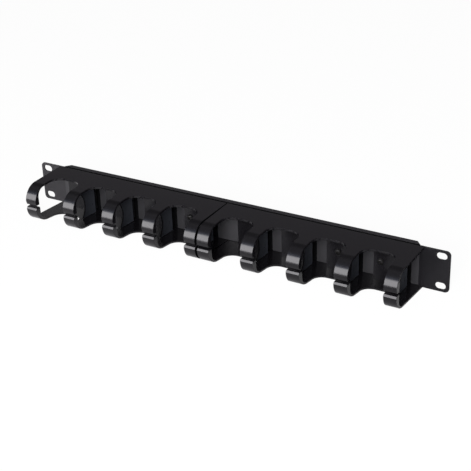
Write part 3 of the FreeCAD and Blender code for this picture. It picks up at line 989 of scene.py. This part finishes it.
# Painted shade: matt near-black in the groove along the bends and in a strip behind each web.
groove_and_strip_shade = graph.make("ShaderNodeBsdfDiffuse", {}, {"Color": PAINTED_SHADE_BLACK, "Normal": bump})
left_half = graph.maths("LESS_THAN", sideways, 0.0)
module_step = (MODULE_LENGTH + SEAM) * MM
along_module = sideways - MODULE_STARTS["right"] * MM + left_half * module_step
from_strip = graph.maths("FLOORED_MODULO", along_module + STRIP_LEAD * MM, FINGER_PITCH * MM)
in_strip = graph.maths("LESS_THAN", from_strip, STRIP_WIDTH * MM)
near_finger = in_strip * graph.maths("GREATER_THAN", sideways, FIRST_STRIP * MM)
behind_web = near_finger * graph.maths("GREATER_THAN", off_middle, SEAM_ROOM * MM) * on_front
painted_shade_places = groove + behind_web * between_ears
surface = graph.make("ShaderNodeMixShader", {}, {0: painted_shade_places, 1: skin, 2: groove_and_strip_shade})
graph.make("ShaderNodeOutputMaterial", {}, {"Surface": surface})
put_on(panel, coating)
print("nodes in the coating:", len(coating.node_tree.nodes))

# %% [markdown]
# ## Blackened screws
#
# The screws are steel with a black zinc coat. The driver wears the coat off a little, so the
# finish goes from dark to a slightly brighter metal in small patches.

# %% Screw finish
ZINC = ((0.012, 0.012, 0.013, 1.0), (0.045, 0.043, 0.042, 1.0))
blackened, graph = new_finish("black_zinc")
place = graph.make("ShaderNodeTexCoord", {}, {}, "Object")
wear = graph.noise(place, 1.2)
colour = graph.blend(wear, *ZINC)
bump = graph.make("ShaderNodeBump", {}, {
    "Height": wear * 0.00003, "Distance": 1.0, "Strength": 0.5,
})
surface = graph.make("ShaderNodeBsdfPrincipled", {}, {
    "Base Color": colour, "Metallic": 0.6, "Roughness": wear * 0.15 + 0.27, "Normal": bump,
})
graph.make("ShaderNodeOutputMaterial", {}, {"Surface": surface})
put_on(screw_set, blackened)
print("nodes in the screw finish:", len(blackened.node_tree.nodes))

# %% [markdown]
# ## Light and background
#
# Black gloss is lit by what it mirrors. In the photograph the round fingers mirror a long softbox
# that stands in front, a white table below it and a grey room above. The world holds these as
# bands that run along the bar, by the angle of a direction seen from the bar's end. The softbox
# stands front left, so the bright band is cut to that side, and the other sides of the bar mirror
# a plain room. Only mirror rays see the bands. The camera sees white, and matt light comes from
# plain lamps.

# %% World with the bands that the gloss mirrors
SOFTBOX = 6.8
SOFTBOX_COLOUR = (6.8, 6.7, 6.9)
SEEN = [
    (-180.0, (0.9, 0.9, 0.9)),
    (-9.5, (1.0, 1.0, 1.0)),
    (-7.5, SOFTBOX_COLOUR),
    (36.0, SOFTBOX_COLOUR),
    (40.5, (0.95, 1.05, 1.3)),
    (50.0, (0.40, 0.46, 0.58)),
    (60.0, (0.20, 0.21, 0.24)),
    (78.0, (0.14, 0.14, 0.15)),
    (92.0, (0.20, 0.20, 0.21)),
    (112.0, (0.05, 0.05, 0.05)),
    (138.0, (0.06, 0.06, 0.06)),
    (148.0, (0.13, 0.12, 0.135)),
    (165.0, (0.26, 0.26, 0.27)),
    (180.0, (0.5, 0.5, 0.5)),
]
REACH = [(0.0, 0.0), (0.13, 0.0), (0.17, 1.0), (0.37, 1.0), (0.43, 0.0), (1.0, 0.0)]
DARK_ROOM = (0.16, 0.16, 0.165, 1.0)
WHITE = grey(1.0)
ROOM_GREY = grey(0.15)


def band(angle):
    """Place on the ramp of an angle in degrees. Ahead is 0, overhead 90 and the rear 180."""
    return (angle + 180.0) / 360.0


def share(colour):
    """A colour as a share of the softbox's strength, because a ramp holds no more than 1."""
    return tuple(part / SOFTBOX for part in colour) + (1.0,)


world = bpy.data.worlds.new("studio")
world.use_nodes = True
bpy.context.scene.world = world
graph = Graph(world.node_tree)
direction = graph.make("ShaderNodeTexCoord", {}, {}, "Generated")
sideways, depth, height = graph.parts(direction)
angle = graph.maths("ARCTAN2", height, -depth)
turn = angle * (1.0 / (2.0 * math.pi)) + 0.5
stops = [(band(at), share(colour)) for at, colour in SEEN]
bands = graph.make("ShaderNodeValToRGB", {"stops": stops}, {"Fac": turn})
darken = {"data_type": "RGBA", "blend_type": "DARKEN"}
inputs = {"Factor": 1.0, "A": bands, "B": DARK_ROOM}
shaded = graph.make("ShaderNodeMix", darken, inputs, "Result")
limits = [(at, grey(level)) for at, level in REACH]
reach = graph.make("ShaderNodeValToRGB", {"stops": limits}, {"Fac": sideways * 0.5 + 0.5})
colour = graph.blend(reach, shaded, bands)
print("bands in the world:", len(stops))

# %% Which rays see the bands
mirrored = graph.make("ShaderNodeBackground", {}, {"Color": colour, "Strength": SOFTBOX})
plain_room = graph.make("ShaderNodeBackground", {}, {"Color": ROOM_GREY, "Strength": 1.0})
white = graph.make("ShaderNodeBackground", {}, {"Color": WHITE, "Strength": 1.0})
KINDS = ("Is Camera Ray", "Is Glossy Ray", "Is Transmission Ray")
is_camera, is_glossy, is_transmission = graph.rays(*KINDS)
unseen = graph.make("ShaderNodeMixShader", {}, {0: is_glossy, 1: plain_room, 2: mirrored})
sees_white = is_camera + is_transmission
seen = graph.make("ShaderNodeMixShader", {}, {0: sees_white, 1: unseen, 2: white})
graph.make("ShaderNodeOutputWorld", {}, {"Surface": seen})
print("nodes in the world:", len(world.node_tree.nodes))

# %% Lamps at a plain level
def soft_lamp(name, place, size, power):
    """A lamp that faces the bar and isn't mirrored in it. Size is (across, up), in metres."""
    data = bpy.data.lights.new(name, "AREA")
    data.shape = "RECTANGLE"
    data.size, data.size_y = size
    data.energy = power
    lamp = bpy.data.objects.new(name, data)
    bpy.context.scene.collection.objects.link(lamp)
    lamp.location = place
    lamp.rotation_euler = (-Vector(place)).to_track_quat("-Z", "Y").to_euler()
    lamp.visible_glossy = False
    return lamp


lamps = [
    soft_lamp("front_softbox", (-0.3, -1.6, 0.42), (2.4, 0.8), 18.0),
    soft_lamp("fill_lamp", (0.6, -1.32, 0.73), (0.6, 0.6), 24.0),
    soft_lamp("top_lamp", (0.0, 0.3, 1.8), (1.4, 1.0), 2.0),
]
print("lamps:", [lamp.name for lamp in lamps])

# %% [markdown]
# The floor is a white sheet. To the camera it is nearly as white as the background, and a part of
# its look still comes from the light on it, so a soft shadow shows under the bar. In the gloss of
# the bar it shows as a dimmer glow, with painted shade that fades towards the right.

# %% White floor
FLOOR_HALF = 4.0
FLOOR_GAP = 0.05
PAPER = (grey(0.84), grey(0.88))
TO_CAMERA = 0.95
TO_GLOSS = 0.55
FADE_PER_METRE = 1.7
PAINTED_TABLE_FADE = ((0.12, 0.12, 0.13, 1.0), (0.92, 0.90, 0.94, 1.0))

floor_mesh = bmesh.new()
bmesh.ops.create_grid(floor_mesh, x_segments=8, y_segments=8, size=FLOOR_HALF)
level = -HALF_HEIGHT * MM - FLOOR_GAP * MM
bmesh.ops.translate(floor_mesh, verts=floor_mesh.verts, vec=(0.0, 0.0, level))
floor_data = bpy.data.meshes.new("white_floor")
floor_mesh.to_mesh(floor_data)
floor_mesh.free()
floor = bpy.data.objects.new("white_floor", floor_data)
bpy.context.scene.collection.objects.link(floor)
print("floor faces:", len(floor_data.polygons))

# %% White paper
paper, graph = new_finish("white_paper")
place = graph.make("ShaderNodeTexCoord", {}, {}, "Object")
tone = graph.blend(graph.noise(place, 2.0), *PAPER)
matt = graph.make("ShaderNodeBsdfDiffuse", {}, {"Color": tone, "Roughness": 0.8})
bright = graph.make("ShaderNodeEmission", {}, {"Color": WHITE, "Strength": 1.0})
is_camera, is_glossy = graph.rays("Is Camera Ray", "Is Glossy Ray")
lit = graph.make("ShaderNodeMixShader", {}, {0: is_camera * TO_CAMERA, 1: matt, 2: bright})
across = graph.parts(place)[0]
fade = graph.maths("MAXIMUM", 0.5 - across * FADE_PER_METRE, 0.0)
falloff = graph.maths("MINIMUM", fade, 1.0)
# Painted shade: the glow that the gloss sees fades from light to dark towards the right.
dim_tone = graph.blend(falloff, *PAINTED_TABLE_FADE)
dim = graph.make("ShaderNodeEmission", {}, {"Color": dim_tone, "Strength": 1.0})
sheet = graph.make("ShaderNodeMixShader", {}, {0: is_glossy * TO_GLOSS, 1: lit, 2: dim})
graph.make("ShaderNodeOutputMaterial", {}, {"Surface": sheet})
put_on(floor, paper)
print("nodes in the paper:", len(paper.node_tree.nodes))

# %% [markdown]
# ## View settings
#
# The Standard view shows a colour about as it is written.

bpy.context.scene.view_settings.view_transform = "Standard"
